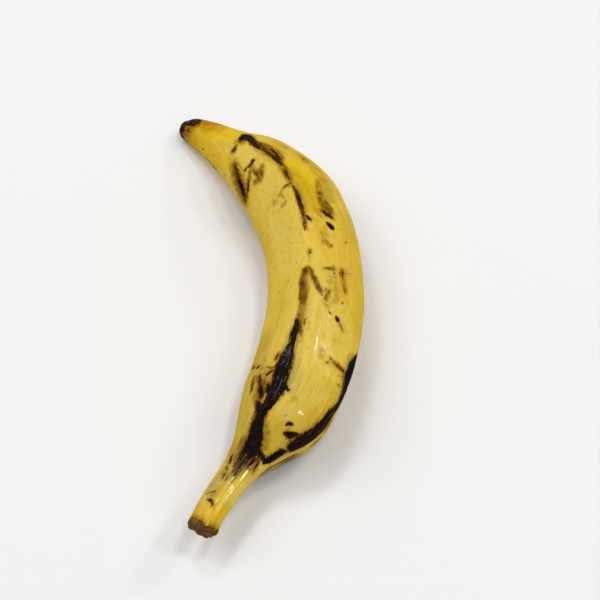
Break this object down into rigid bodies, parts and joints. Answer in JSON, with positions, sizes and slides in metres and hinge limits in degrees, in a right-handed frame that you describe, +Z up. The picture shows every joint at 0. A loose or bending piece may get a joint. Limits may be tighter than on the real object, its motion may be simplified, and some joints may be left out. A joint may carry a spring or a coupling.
{
  "type": "plantain",
  "caption": "Single ripe plantain fruit lying on its side: curved, blunt ridged body with a slim neck and cut stem, golden peel with dark bruises.",
  "frame": {"origin": "middle of the bounding box in plan, on the surface the fruit lies on", "axes": "+Z up from the surface, +Y along the length towards the blossom tip, +X towards the outer (convex) side of the curve"},
  "size_m": [0.1038, 0.2598, 0.048],
  "materials": {
    "peel": "waxy ripe peel, semi-gloss, with dark bruised patches that shine where the skin is wet"
  },
  "bodies": {
    "root": {"plantain": "peel"}
  },
  "joints": []
}
